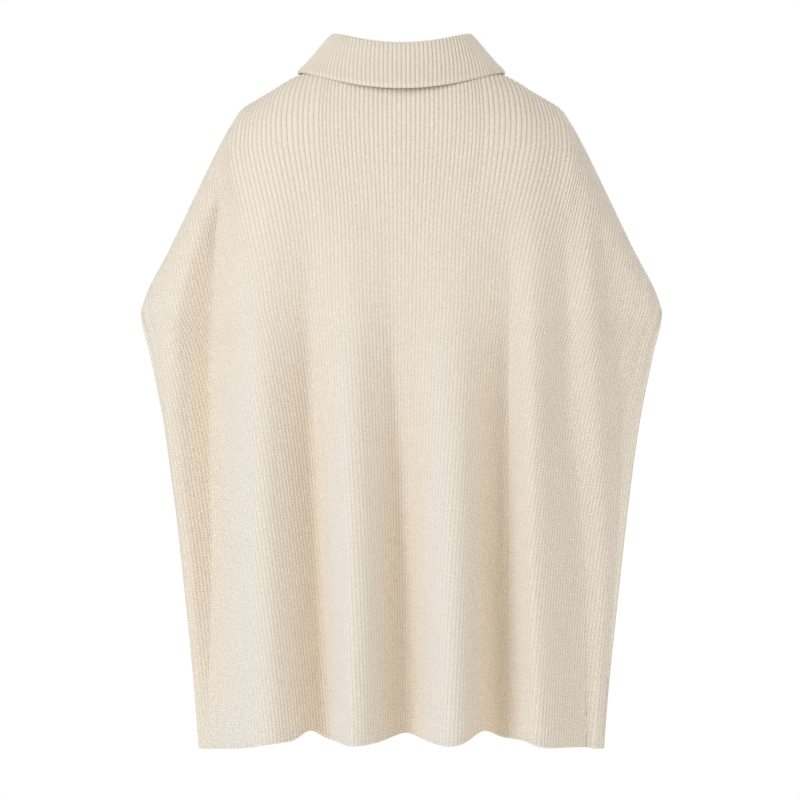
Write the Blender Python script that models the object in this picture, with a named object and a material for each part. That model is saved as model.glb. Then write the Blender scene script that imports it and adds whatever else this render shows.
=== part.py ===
"""Half-zip poncho sweater in rib knit, worn and hollow.

Metres, +Z up. The front faces -Y and the wearer's left is +X. The origin is in the
middle of the neck, at the height of the inner shoulders that carry the garment.

Each panel is a sheet over the same two coordinates: share, which runs across the
ribs from -1 at the right side edge to 1 at the left one, and run, which goes along a
rib from 0 at the top line to 1 at the hem. A raised rib in a solid stands for two
ribs of the knit.
"""

import math

import bmesh
import bpy
import numpy as np
from mathutils import Matrix, Vector

# ---------------------------------------------------------------- driving dimensions

GAP = 0.0003  # clear space between two pieces
WALL = 0.003  # thickness of the plain cloth
RIB_RISE = 0.0012  # how far a rib stands up from the plain wall
PANEL_RIBS = 40  # raised ribs from a panel's centre line to its side edge
PANEL_ROWS = 11
NORMAL_STEP = 0.002  # share or run between the points that a normal is taken from
SAMPLES = 400  # steps in which a length along a curve is measured
COLLAR_RIBS = 48

NECK_HALF = 0.083  # the neck seam, seen from above
NECK_DEPTH = {"back": 0.066, "front": 0.080}
NECK_SHARE = 0.235  # share of a panel's ribs that end in the neck seam
NECK_ROUNDNESS = 0.25  # 0 spaces the neck's ribs evenly in x, 1 evenly in angle
TIP_X = 0.300  # half the garment's width, at the arm tips
TIP_Z = -0.269
HEM_Z = -0.755  # hem height at the centre
HEM_CORNER_DROP = 0.017
SETTLE_START = 0.02  # the ribs spread at the shoulders and close up over this drop
SETTLE_END = 0.23
FORM_LENGTH = 0.60  # drop over which the body's depth changes to the hem's
SIDE = {"back": 1.0, "front": -1.0}

# The top line, from the middle of the neck over the shoulder and down the arm.
SHOULDER_LINE = (
    # distance from the centre, height
    (0.000, 0.0200),
    (0.060, 0.0175),
    (0.088, 0.0110),
    (0.110, 0.0030),
    (0.130, -0.0065),
    (0.149, -0.0185),
    (0.169, -0.0300),
    (0.183, -0.0395),
    (0.191, -0.0510),
    (0.2045, -0.0740),
    (0.2335, -0.1320),
    (0.2675, -0.2015),
    (0.292, -0.2480),
    (TIP_X, TIP_Z),
)

# The free side edge, from the arm tip to the hem.
SIDE_EDGE = (
    # height, distance from the centre
    (-0.780, 0.2305),
    (-0.700, 0.2370),
    (-0.600, 0.2475),
    (-0.500, 0.2590),
    (-0.400, 0.2730),
    (-0.320, 0.2890),
    (TIP_Z, TIP_X),
    (0.050, TIP_X),
)

# The depth that the cloth hangs at, by its place between the centre and the side edge.
FORM = {
    "back": (
        # place at arm tip scale, depth under the shoulder, at the hem, drop to full depth
        (0.000, 0.115, 0.088, 0.100),
        (0.084, 0.109, 0.088, 0.099),
        (0.140, 0.096, 0.084, 0.092),
        (0.190, 0.072, 0.072, 0.075),
        (0.245, 0.044, 0.050, 0.055),
        (TIP_X, 0.016, 0.028, 0.035),
    ),
    "front": (
        (0.000, 0.120, 0.094, 0.130),
        (0.084, 0.108, 0.094, 0.115),
        (0.140, 0.092, 0.086, 0.095),
        (0.190, 0.072, 0.072, 0.078),
        (0.245, 0.042, 0.048, 0.055),
        (TIP_X, 0.014, 0.026, 0.035),
    ),
}

# Folds, from the wearer's right to left: where each crest or trough lies across the
# panel and how far it stands out (+) or in (-), at five heights.
FOLD_LEVELS = (-0.76, -0.56, -0.38, -0.26, -0.14)
FOLDS = {
    "back": (
        # name, x at the five levels, millimetres out at the five levels
        ("right edge trough", (-0.231, -0.245, -0.252, -0.234, -0.224), (-1, -2, -4, -4, -2)),
        ("right crest", (-0.220, -0.224, -0.221, -0.213, -0.207), (3, 5, 6, 5, 2)),
        ("right soft trough", (-0.206, -0.191, -0.186, -0.184, -0.178), (-7, -8, -8, -5, -1)),
        ("right mid crest", (-0.157, -0.149, -0.148, -0.147, -0.146), (9, 8, 8, 5, 1)),
        ("right deep trough", (-0.120, -0.120, -0.119, -0.118, -0.116), (-42, -36, -23, -9, 0)),
        ("centre right crest", (-0.054, -0.055, -0.056, -0.052, -0.046), (24, 20, 12, 4, 0)),
        ("centre trough", (-0.010, -0.006, 0.004, 0.011, 0.018), (-33, -27, -14, -4, 0)),
        ("centre left crest", (0.054, 0.054, 0.057, 0.057, 0.062), (22, 19, 14, 6, 0)),
        ("left deep trough", (0.081, 0.092, 0.101, 0.105, 0.108), (-33, -30, -21, -8, 0)),
        ("left broad crest", (0.158, 0.162, 0.163, 0.160, 0.155), (22, 20, 17, 10, 3)),
        ("left arm trough", (0.222, 0.216, 0.217, 0.213, 0.207), (0, -18, -23, -20, -6)),
        ("left arm crest", (0.229, 0.247, 0.266, 0.262, 0.222), (0, 4, 10, 11, 3)),
    ),
    "front": (
        ("right edge trough", (-0.224, -0.243, -0.251, -0.244, -0.232), (-2, -4, -8, -7, -4)),
        ("right crest", (-0.200, -0.205, -0.201, -0.199, -0.198), (16, 14, 11, 8, 3)),
        ("right deep trough", (-0.156, -0.150, -0.147, -0.148, -0.150), (-30, -26, -16, -8, 0)),
        ("right mid crest", (-0.104, -0.100, -0.099, -0.102, -0.108), (28, 22, 12, 5, 0)),
        ("centre right trough", (-0.060, -0.056, -0.051, -0.051, -0.052), (-27, -21, -11, -4, 0)),
        ("centre crest", (-0.010, -0.008, -0.005, -0.002, 0.000), (25, 18, 8, 2, 0)),
        ("centre left trough", (0.036, 0.042, 0.047, 0.051, 0.055), (-28, -22, -11, -4, 0)),
        ("left mid crest", (0.075, 0.080, 0.087, 0.098, 0.110), (24, 20, 13, 6, 0)),
        ("left deep trough", (0.118, 0.124, 0.129, 0.139, 0.150), (-29, -25, -15, -7, 0)),
        ("left broad crest", (0.180, 0.190, 0.188, 0.191, 0.196), (16, 15, 12, 9, 3)),
        ("left arm trough", (0.222, 0.240, 0.244, 0.236, 0.226), (-3, -8, -9, -7, -4)),
    ),
}
HEM_LIFTS = {
    "back": (
        # where the hem swings up: place across it, height of the rise, half its width
        (-0.139, 0.0045, 0.016),
        (-0.092, 0.0135, 0.019),
        (-0.002, 0.0060, 0.020),
        (0.103, 0.0120, 0.014),
        (0.139, 0.0060, 0.035),
    ),
    "front": (
        (-0.150, 0.0080, 0.020),
        (-0.055, 0.0090, 0.018),
        (0.040, 0.0110, 0.017),
        (0.122, 0.0070, 0.021),
    ),
}
FOLD_START = 0.10  # the folds grow in over this drop below the top line
TROUGH_ROUND = 0.16  # share of a fold's side that rounds its trough
CREST_ROUND = 0.40  # and its crest
SPREAD_LEVELS = np.linspace(-0.78, 0.03, 28)

# The collar's middle surface as rings, from above the neck seam to its turned edge.
COLLAR_RINGS = (
    # half width, depth back, depth front, height side, back, front, half opening
    (0.0790, 0.0650, 0.0810, 0.0360, 0.0200, 0.0060, 0.006),
    (0.0755, 0.0630, 0.0790, 0.0425, 0.0245, 0.0140, 0.010),
    (0.0800, 0.0675, 0.0835, 0.0473, 0.0283, 0.0180, 0.013),
    (0.0845, 0.0720, 0.0880, 0.0440, 0.0247, 0.0140, 0.016),
    (0.0985, 0.0860, 0.1030, 0.0285, 0.0035, -0.0120, 0.026),
    (0.1125, 0.0985, 0.1130, 0.0120, -0.0145, -0.0340, 0.036),
    (0.1190, 0.1070, 0.1175, 0.0055, -0.0255, -0.0450, 0.042),
)
COLLAR_FOOT = 0.003  # the collar rises straight from the neck seam over this height

# The zip, closed from its bottom stop up to the slider just below the neck.
ZIP_END_RUN = 0.50  # the zip opening's lower end on the front panel
SLIT_CLOSE_RUN = 0.006  # how far below it the two halves join
SLIT_ROWS = 6  # rows of the front panel that the opening takes up
SLIT_HALF = 0.004
SLIT_REACH = 0.1  # share of the panel over which the ribs make room for it
TAPE_INNER = 0.0012  # the tape's inner edge, from the opening's centre line
TAPE_OUTER = 0.0130
TAPE_ON_COLLAR = 0.967  # how far round the collar its tape's outer edge lies
TAPE_THICK = 0.0008
TAPE_CLEAR = 2.0 * GAP
SLIDER_RUN = 0.17
SLIDER_WIDTH = 0.0068
SLIDER_LENGTH = 0.0120
SLIDER_BACK = -0.0010  # the slider's two faces, out from the cloth's middle surface
SLIDER_FACE = 0.0030
SLIDER_TAPER = 0.75  # width of its lower end as a share of its upper end's
SLIDER_BEVEL = 0.0007
BRIDGE_REACH = 0.0042  # the bridge's feet, up and down from the pull's axis
BRIDGE_HEIGHT = 0.0063
WIRE = 0.0006  # radius of the bridge
PULL_AXIS_HEIGHT = 0.00445
PULL_WIDTH = 0.0070
PULL_LENGTH = 0.0260
PULL_THICK = 0.0013
PULL_BEVEL = 0.0003
PULL_WINDOW = (0.0040, 0.0055)  # width and length of the window round the bridge
STOP_RUN = 0.492
STOP_SIZE = (0.0050, 0.0030, 0.0022)
STOP_BEVEL = 0.0004

# Rows of each panel, as shares of a rib's length (squared, so they crowd at the top).
PANEL_RUNS = {
    "back": np.linspace(0.0, 1.0, PANEL_ROWS + 1),
    "front": np.concatenate(
        (
            np.linspace(0.0, ZIP_END_RUN, SLIT_ROWS),
            np.linspace(ZIP_END_RUN + SLIT_CLOSE_RUN, 1.0, PANEL_ROWS + 1 - SLIT_ROWS),
        )
    ),
}

COLOURS = {
    # part: (red, green, blue), roughness, metallic
    "knit": ((0.80, 0.71, 0.58), 0.95, 0.0),
    "tape": ((0.74, 0.65, 0.52), 0.90, 0.0),
    "metal": ((0.62, 0.58, 0.50), 0.32, 1.0),
}

# ---------------------------------------------------------------- curves and shares


def smoothstep(x):
    x = np.clip(x, 0.0, 1.0)
    return x * x * (3.0 - 2.0 * x)


def through(points, x):
    """A smooth curve through (x, y) points in rising x, without overshoot."""
    px, py = np.array(points, dtype=float).T[:2]
    chord = np.diff(py) / np.diff(px)
    slope = np.concatenate(([chord[0]], (chord[1:] + chord[:-1]) / 2.0, [chord[-1]]))
    turn = chord[1:] * chord[:-1] <= 0.0
    slope[1:-1][turn] = 0.0
    x = np.clip(x, px[0], px[-1])
    i = np.clip(np.searchsorted(px, x) - 1, 0, len(px) - 2)
    width = px[i + 1] - px[i]
    s = (x - px[i]) / width
    rise = s * s * (3.0 - 2.0 * s)
    lead = s * (1.0 - s) ** 2
    trail = -s * s * (1.0 - s)
    return (
        py[i]
        + (py[i + 1] - py[i]) * rise
        + width * (slope[i] * lead + slope[i + 1] * trail)
    )


def mirrored(points, x):
    """A smooth curve through points from the centre outwards, alike on both sides."""
    first_x, first_y = points[1]
    return through([(-first_x, first_y), *points], np.abs(x))


def column(table, index, x):
    """One column of a table, read smoothly by distance from the centre."""
    return mirrored([(row[0], row[index]) for row in table], x)


def line_height(x):
    return mirrored(SHOULDER_LINE, x)


def side_edge(z):
    return through(SIDE_EDGE, z)


def shoulder_x(share):
    """Distance from the centre at a share of the seam's length, neck to arm tip."""
    x = np.linspace(NECK_HALF, TIP_X, SAMPLES)
    steps = np.hypot(np.diff(x), np.diff(line_height(x)))
    length = np.concatenate(([0.0], np.cumsum(steps)))
    return np.interp(share, length / length[-1], x)


def neck_drop(side, x, y):
    """How far the form has fallen below the top line at a point of the neck seam."""
    depth = column(FORM[side], 1, x)
    rise = column(FORM[side], 3, x)
    return rise * (1.0 - np.sqrt(1.0 - np.clip(y / depth, 0.0, 0.99) ** 2))


def rib_start(side, share):
    """Where a rib starts: its x, the top line's height there, and the drop below it."""
    across = np.abs(share)
    s = np.minimum(across / NECK_SHARE, 1.0)
    angle = NECK_ROUNDNESS * s * math.pi / 2.0 + (1.0 - NECK_ROUNDNESS) * np.arcsin(s)
    neck_x = NECK_HALF * np.sin(angle)
    neck_y = NECK_DEPTH[side] * np.cos(angle)
    beyond = np.clip((across - NECK_SHARE) / (1.0 - NECK_SHARE), 0.0, 1.0)
    on_neck = across < NECK_SHARE
    x = np.where(on_neck, neck_x, shoulder_x(beyond))
    drop = np.where(on_neck, neck_drop(side, neck_x, neck_y), 0.0)
    return x * np.sign(share), line_height(x), drop


# ---------------------------------------------------------------- the draped sheet


def form_depth(side, across, drop):
    top = column(FORM[side], 1, across)
    hem = column(FORM[side], 2, across)
    rise = column(FORM[side], 3, across)
    bend = np.clip(1.0 - drop / rise, 0.0, 1.0)
    depth = top + (hem - top) * smoothstep(drop / FORM_LENGTH)
    return depth * np.sqrt(1.0 - bend * bend)


def fold_side(s):
    """The side of a fold, from 0 in its narrow trough up a straight flank to 1 on its crest."""
    s = np.clip(s, 0.0, 1.0)
    slope = 1.0 / (1.0 - (TROUGH_ROUND + CREST_ROUND) / 2.0)
    low = slope * s * s / (2.0 * TROUGH_ROUND)
    flank = slope * (s - TROUGH_ROUND / 2.0)
    high = 1.0 - slope * (1.0 - s) ** 2 / (2.0 * CREST_ROUND)
    return np.where(s < TROUGH_ROUND, low, np.where(s < 1.0 - CREST_ROUND, flank, high))


def fold_height(side, x, z, drop):
    """How far the folds stand out from the form at a point of the sheet."""
    level = np.clip(z, FOLD_LEVELS[0], FOLD_LEVELS[-1])
    edge = side_edge(z)
    place = [-edge]
    height = [np.zeros_like(x)]
    for _, at, out in FOLDS[side]:
        place.append(through(list(zip(FOLD_LEVELS, at)), level))
        height.append(through(list(zip(FOLD_LEVELS, out)), level) / 1000.0)
    place.append(edge)
    height.append(np.zeros_like(x))
    total = np.zeros_like(x)
    for k in range(len(place) - 1):
        s = (x - place[k]) / np.maximum(place[k + 1] - place[k], 1e-4)
        inside = (s >= 0.0) & (s < 1.0)
        rising = height[k + 1] > height[k]
        low = np.minimum(height[k], height[k + 1])
        high = np.maximum(height[k], height[k + 1])
        wave = low + (high - low) * fold_side(np.where(rising, s, 1.0 - s))
        total = np.where(inside, wave, total)
    return total * smoothstep(drop / FOLD_START)


def hanging_depth(side, x, z):
    """How far the sheet hangs out from the wearer's middle plane at a place and height."""
    across = x * TIP_X / side_edge(z)
    drop = np.maximum(line_height(across) - z, 0.0)
    return form_depth(side, across, drop) + fold_height(side, x, z, drop)


def even_rows(side):
    """Where the ribs lie across each level, evenly spaced along its waves."""
    share = np.linspace(-1.0, 1.0, SAMPLES + 1)
    middle = len(share) // 2
    rows = []
    for z in SPREAD_LEVELS:
        x = share * side_edge(z)
        depth = hanging_depth(side, x, np.full_like(x, z))
        steps = np.hypot(np.diff(x), np.diff(depth))
        length = np.concatenate(([0.0], np.cumsum(steps)))
        length -= length[middle]
        even = np.where(length < 0.0, length / -length[0], length / length[-1])
        rows.append(np.interp(share, even, share))
    return share, np.array(rows)


EVEN_ROWS = {side: even_rows(side) for side in SIDE}


def spread(side, share, z):
    """The share of the half width at which a rib lies at a height."""
    grid, rows = EVEN_ROWS[side]
    place = (z - SPREAD_LEVELS[0]) / (SPREAD_LEVELS[1] - SPREAD_LEVELS[0])
    place = np.clip(place, 0.0, len(SPREAD_LEVELS) - 1.001)
    low = place.astype(int)
    levels = np.array([np.interp(share, grid, row) for row in rows])
    below = np.take_along_axis(levels, low[None], axis=0)[0]
    above = np.take_along_axis(levels, low[None] + 1, axis=0)[0]
    return below + (above - below) * (place - low)


def hem_height(side, share):
    """The hem's height: lowest at the corners, lifted where it swings up."""
    x = side_edge(HEM_Z) * spread(side, share, np.full_like(share, HEM_Z))
    hem = HEM_Z - HEM_CORNER_DROP * share**2
    for place, height, width in HEM_LIFTS[side]:
        hem = hem + height * np.exp(-(((x - place) / width) ** 2))
    return hem


def sheet_points(side, share, run):
    """Points of a panel's middle surface, for arrays of share and run."""
    start_x, line, start_drop = rib_start(side, share)
    top = line - start_drop
    hem = hem_height(side, share)
    z = top - (top - hem) * run**2
    low = side_edge(z) * spread(side, share, z)
    low_start = side_edge(top) * spread(side, share, top)
    fallen = (top - z - SETTLE_START) / (SETTLE_END - SETTLE_START)
    x = low + (start_x - low_start) * (1.0 - smoothstep(fallen))
    y = hanging_depth(side, x, z)
    return np.stack([x, SIDE[side] * (y + GAP / 2.0), z], axis=-1)


def unit(vectors):
    return vectors / np.linalg.norm(vectors, axis=-1, keepdims=True)


def sheet_normals(side, share, run):
    """Unit normals of a panel's middle surface, pointing away from the wearer."""
    step = NORMAL_STEP
    along = sheet_points(side, share, np.clip(run + step, 0, 1)) - sheet_points(
        side, share, np.clip(run - step, 0, 1)
    )
    across = sheet_points(side, np.clip(share + step, -1, 1), run) - sheet_points(
        side, np.clip(share - step, -1, 1), run
    )
    normal = np.cross(across, along)
    facing = normal[..., 1] * SIDE[side] + 0.5 * normal[..., 2]
    normal = normal * np.where(facing < 0.0, -1.0, 1.0)[..., None]
    on_seam = (run == 0.0) & (np.abs(share) >= NECK_SHARE)
    normal[..., 1] = np.where(on_seam, 0.0, normal[..., 1])
    return unit(normal)


# ---------------------------------------------------------------- closed walls


def add_vertices(bm, points):
    return [[bm.verts.new(point) for point in row] for row in points]


def add_grid_faces(bm, grid):
    for upper, lower in zip(grid, grid[1:]):
        for i in range(len(upper) - 1):
            bm.faces.new((upper[i], upper[i + 1], lower[i + 1], lower[i]))


def add_long_rim(bm, ribbed_row, plain_row):
    """Closes a top or hem: each plain step meets a rib's two steps."""
    for k in range(len(plain_row) - 1):
        ribs = ribbed_row[2 * k : 2 * k + 3]
        bm.faces.new((plain_row[k], plain_row[k + 1], ribs[2], ribs[1], ribs[0]))


def add_side_rim(bm, ribbed, plain, index, rows):
    for j in range(rows):
        bm.faces.new(
            (ribbed[j][index], ribbed[j + 1][index], plain[j + 1][index], plain[j][index])
        )


def finish_mesh(name, bm, colour, smooth_angle=40.0):
    bmesh.ops.recalc_face_normals(bm, faces=bm.faces)
    mesh = bpy.data.meshes.new(name)
    bm.to_mesh(mesh)
    bm.free()
    mesh.shade_smooth()
    mesh.set_sharp_from_angle(angle=math.radians(smooth_angle))
    return place_object(name, mesh, colour)


def place_object(name, mesh, colour):
    part = bpy.data.objects.new(name, mesh)
    part.data.materials.append(finish(colour))
    COLLECTION.objects.link(part)
    return part


def finish(kind):
    material = bpy.data.materials.get(kind)
    if material:
        return material
    colour, roughness, metallic = COLOURS[kind]
    material = bpy.data.materials.new(kind)
    material.use_nodes = True
    shader = material.node_tree.nodes["Principled BSDF"]
    shader.inputs["Base Color"].default_value = (*colour, 1.0)
    shader.inputs["Roughness"].default_value = roughness
    shader.inputs["Metallic"].default_value = metallic
    return material


# ---------------------------------------------------------------- panels


def half_panel(side, sign, slit_rows):
    """Ribbed and plain points of the half panel from the centre to one side edge."""
    columns = 2 * PANEL_RIBS
    run, share = np.meshgrid(
        PANEL_RUNS[side], sign * np.arange(columns + 1) / columns, indexing="ij"
    )
    middle = sheet_points(side, share, run)
    near = np.clip(1.0 - np.abs(share[:slit_rows]) / SLIT_REACH, 0.0, 1.0)
    middle[:slit_rows, :, 0] += sign * SLIT_HALF * near
    normal = sheet_normals(side, share, run)
    rib = (np.arange(columns + 1) % 2)[None, :] * (run > 0.0)
    ribbed = middle + normal * (WALL / 2.0 + RIB_RISE * rib)[..., None]
    plain = middle - normal * WALL / 2.0
    return ribbed, plain[:, ::2]


def add_half(bm, points, shared=None, slit_rows=0):
    """One half of a panel; a second half shares the first one's centre vertices."""
    grids = []
    for layer, layer_points in enumerate(points):
        grid = add_vertices(bm, layer_points)
        for j in range(slit_rows if shared else len(grid), len(grid)):
            bm.verts.remove(grid[j][0])
            grid[j][0] = shared[layer][j][0]
        grids.append(grid)
    ribbed, plain = grids
    rows = len(ribbed) - 1
    add_grid_faces(bm, ribbed)
    add_grid_faces(bm, plain)
    add_long_rim(bm, ribbed[0], plain[0])
    add_long_rim(bm, ribbed[-1], plain[-1])
    add_side_rim(bm, ribbed, plain, -1, rows)
    add_side_rim(bm, ribbed, plain, 0, slit_rows)
    return grids


def make_panel(name, side, slit_rows):
    bm = bmesh.new()
    left = add_half(bm, half_panel(side, 1.0, slit_rows), slit_rows=slit_rows)
    add_half(bm, half_panel(side, -1.0, slit_rows), shared=left, slit_rows=slit_rows)
    return finish_mesh(name, bm, "knit")


# ---------------------------------------------------------------- collar


def neck_frame(angle):
    """Neck seam points, the panels' normals there and the way out of the neck."""
    back = np.cos(angle) >= 0.0
    x = NECK_HALF * np.sin(angle)
    frames = {}
    for side in SIDE:
        y = NECK_DEPTH[side] * np.abs(np.cos(angle))
        depth = column(FORM[side], 1, x)
        rise = column(FORM[side], 3, x)
        z = line_height(x) - neck_drop(side, x, y)
        slope = (line_height(np.abs(x) + 0.001) - line_height(np.abs(x) - 0.001)) / 0.002
        lean = rise * y / (depth**2 * np.sqrt(1.0 - (y / depth) ** 2))
        point = np.stack([x, SIDE[side] * y, z], axis=-1)
        normal = np.stack([-slope * np.sign(x), SIDE[side] * lean, np.ones_like(x)], axis=-1)
        frames[side] = (point, unit(normal))
    point = np.where(back[..., None], frames["back"][0], frames["front"][0])
    normal = np.where(back[..., None], frames["back"][1], frames["front"][1])
    depth = np.where(back, NECK_DEPTH["back"], NECK_DEPTH["front"])
    tangent = [NECK_HALF * np.cos(angle), -depth * np.sin(angle), np.zeros_like(angle)]
    away = unit(np.cross(np.stack(tangent, axis=-1), normal))
    outward = np.sum(away * point * (1.0, 1.0, 0.0), axis=-1, keepdims=True)
    return point, normal, away * np.where(outward < 0.0, -1.0, 1.0)


def ring_points(ring, angle):
    half, back, front, z_side, z_back, z_front = ring[:6]
    turn = np.cos(angle)
    y = np.where(turn > 0.0, back, front) * turn
    z = z_side + (np.where(turn > 0.0, z_back, z_front) - z_side) * turn**2
    return np.stack([half * np.sin(angle), y, z], axis=-1)


def collar_angles(ring_index, place):
    """Angles round the neck, from the back, for places -1 to 1 along the collar."""
    if ring_index < 2:
        half, opening = NECK_HALF, SLIT_HALF
    else:
        ring = COLLAR_RINGS[ring_index - 2]
        half, opening = ring[0], ring[6]
    return place * (math.pi - math.asin(opening / half))


def collar_points(place):
    """The collar's middle surface: a row of points for each ring."""
    rows = []
    for index in range(len(COLLAR_RINGS) + 2):
        angle = collar_angles(index, place)
        if index < 2:
            point, normal, away = neck_frame(angle)
            lift = WALL / 2.0 + RIB_RISE + GAP + index * COLLAR_FOOT
            rows.append(point + normal * lift + away * WALL / 2.0)
        else:
            rows.append(ring_points(COLLAR_RINGS[index - 2], angle))
    return np.array(rows)


def collar_normals(place):
    """Unit normals of the side that shows: inside the stand, outside the turned fall."""
    points = collar_points(place)
    across = collar_points(place + NORMAL_STEP) - collar_points(place - NORMAL_STEP)
    along = np.gradient(points, axis=0)
    return unit(np.cross(across, along))


def make_collar():
    place = np.linspace(-1.0, 1.0, 2 * COLLAR_RIBS + 1)
    middle = collar_points(place)
    normal = collar_normals(place)
    rib = (np.arange(len(place)) % 2)[None, :, None]
    ribbed = middle + normal * (WALL / 2.0 + RIB_RISE * rib)
    plain = (middle - normal * WALL / 2.0)[:, ::2]
    bm = bmesh.new()
    grids = [add_vertices(bm, ribbed), add_vertices(bm, plain)]
    for grid in grids:
        add_grid_faces(bm, grid)
    add_long_rim(bm, grids[0][0], grids[1][0])
    add_long_rim(bm, grids[0][-1], grids[1][-1])
    add_side_rim(bm, *grids, -1, len(middle) - 1)
    add_side_rim(bm, *grids, 0, len(middle) - 1)
    return finish_mesh("collar", bm, "knit")


# ---------------------------------------------------------------- zip tapes


def panel_tape_edges(sign):
    """The tape's two edges behind the front panel, from its lower end to the neck."""
    runs = PANEL_RUNS["front"][SLIT_ROWS::-1]
    edges = []
    for reach in (TAPE_INNER, TAPE_OUTER):
        share = np.full_like(runs, sign * reach / TIP_X)
        normal = sheet_normals("front", share, runs)
        point = sheet_points("front", share, runs)
        point = point - normal * (WALL / 2.0 + TAPE_CLEAR + TAPE_THICK / 2.0)
        point[:, 0] = sign * reach
        edges.append((point, normal))
    return edges


def collar_tape_edges(sign):
    """The tape's two edges along the collar's front, on the side that shows."""
    inset = WALL / 2.0 + RIB_RISE + TAPE_CLEAR + TAPE_THICK / 2.0
    end = np.array([sign])
    point = collar_points(end)[:, 0]
    beyond = unit(point - collar_points(end * 0.99)[:, 0]) * (SLIT_HALF - TAPE_INNER)
    normal = collar_normals(end)[:, 0]
    near = (point + beyond + normal * inset, -normal)
    end = end * TAPE_ON_COLLAR
    normal = collar_normals(end)[:, 0]
    far = (collar_points(end)[:, 0] + normal * inset, -normal)
    return near, far


def turned_corner(below, above):
    """Where the tape turns round the panel's edge into the collar."""
    (low, low_normal), (high, high_normal) = below, above
    rise = np.dot(high - low, low_normal)
    return high - low_normal * rise, unit(low_normal + high_normal)


def tape_rings(sign):
    """Four corners for each station, from the zip's lower end to the collar's edge."""
    sides = []
    for panel_edge, collar_edge in zip(panel_tape_edges(sign), collar_tape_edges(sign)):
        below = (panel_edge[0][-1], panel_edge[1][-1])
        above = (collar_edge[0][0], collar_edge[1][0])
        corner, facing = turned_corner(below, above)
        points = np.concatenate((panel_edge[0], [corner], collar_edge[0]))
        normals = np.concatenate((panel_edge[1], [facing], collar_edge[1]))
        half = normals * TAPE_THICK / 2.0
        sides.append((points - half, points + half))
    (near_in, near_out), (far_in, far_out) = sides
    return np.stack([near_in, far_in, far_out, near_out], axis=1)


def make_tape(name, sign):
    bm = bmesh.new()
    rings = add_vertices(bm, tape_rings(sign))
    for lower, upper in zip(rings, rings[1:]):
        for i in range(4):
            k = (i + 1) % 4
            bm.faces.new((lower[i], lower[k], upper[k], upper[i]))
    bm.faces.new(rings[0])
    bm.faces.new(rings[-1])
    return finish_mesh(name, bm, "tape")


# ---------------------------------------------------------------- slider, pull, stop


def zip_frame(run):
    """Axes on the zip's centre line: X across, Y up along the zip, Z out of the cloth."""
    here = sheet_points("front", np.zeros(1), np.array([run]))[0]
    lower = sheet_points("front", np.zeros(1), np.array([run + 0.01]))[0]
    up = Vector(here - lower)
    up.x = 0.0
    up.normalize()
    across = Vector((1.0, 0.0, 0.0))
    frame = Matrix((across, up, across.cross(up))).transposed().to_4x4()
    frame.translation = Vector((0.0, here[1], here[2]))
    return frame


def add_block(bm, low, high, bevel, lower_width=1.0):
    """A box between two corners, narrowed at its lower end, with rounded edges."""
    size = [b - a for a, b in zip(low, high)]
    middle = Vector([(a + b) / 2.0 for a, b in zip(low, high)])
    block = bmesh.ops.create_cube(bm, size=1.0)["verts"]
    for vert in block:
        vert.co = Vector([c * s for c, s in zip(vert.co, size)]) + middle
        if vert.co.y < middle.y:
            vert.co.x *= lower_width
    edges = {edge for vert in block for edge in vert.link_edges}
    bmesh.ops.bevel(
        bm,
        geom=list(edges),
        offset=bevel,
        segments=2,
        affect="EDGES",
        profile=0.5,
    )


def block_object(name, low, high, bevel, lower_width=1.0):
    bm = bmesh.new()
    add_block(bm, low, high, bevel, lower_width)
    return finish_mesh(name, bm, "metal")


def boolean(target, tool, operation):
    """Cuts or joins with a helper object, which stays in the cutters' collection."""
    modifier = target.modifiers.new(operation.lower(), "BOOLEAN")
    modifier.operation = operation
    modifier.solver = "EXACT"
    modifier.object = tool
    COLLECTION.objects.unlink(tool)
    CUTTERS.objects.link(tool)
    tool.hide_render = True
    tool.display_type = "WIRE"


def bridge_object(frame):
    """The wire bridge over the slider that the pull's window goes round."""
    curve = bpy.data.curves.new("slider_bridge_path", "CURVE")
    curve.dimensions = "3D"
    curve.bevel_depth = WIRE
    curve.bevel_resolution = 1
    curve.use_fill_caps = True
    foot = SLIDER_FACE - WIRE
    shoulder = BRIDGE_HEIGHT - 2.0 * WIRE
    path = (
        (-BRIDGE_REACH, foot),
        (-BRIDGE_REACH, shoulder),
        (-BRIDGE_REACH + 2.0 * WIRE, BRIDGE_HEIGHT),
        (BRIDGE_REACH - 2.0 * WIRE, BRIDGE_HEIGHT),
        (BRIDGE_REACH, shoulder),
        (BRIDGE_REACH, foot),
    )
    spline = curve.splines.new("POLY")
    spline.points.add(len(path) - 1)
    for point, (y, z) in zip(spline.points, path):
        point.co = (0.0, y, z, 1.0)
    wire = bpy.data.objects.new("slider_bridge_path", curve)
    COLLECTION.objects.link(wire)
    bpy.context.view_layer.update()
    depsgraph = bpy.context.evaluated_depsgraph_get()
    mesh = bpy.data.meshes.new_from_object(wire.evaluated_get(depsgraph))
    bpy.data.objects.remove(wire, do_unlink=True)
    bm = bmesh.new()
    bm.from_mesh(mesh)
    bmesh.ops.remove_doubles(bm, verts=bm.verts, dist=0.00001)
    bpy.data.meshes.remove(mesh)
    bridge = finish_mesh("slider_bridge", bm, "metal")
    bridge.matrix_world = frame
    return bridge


def make_slider(frame):
    half = SLIDER_WIDTH / 2.0
    reach = SLIDER_LENGTH / 2.0
    low = (-half, -reach, SLIDER_BACK)
    high = (half, reach, SLIDER_FACE)
    slider = block_object("zip_slider", low, high, SLIDER_BEVEL, SLIDER_TAPER)
    slider.matrix_world = frame
    boolean(slider, bridge_object(frame), "UNION")


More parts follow.
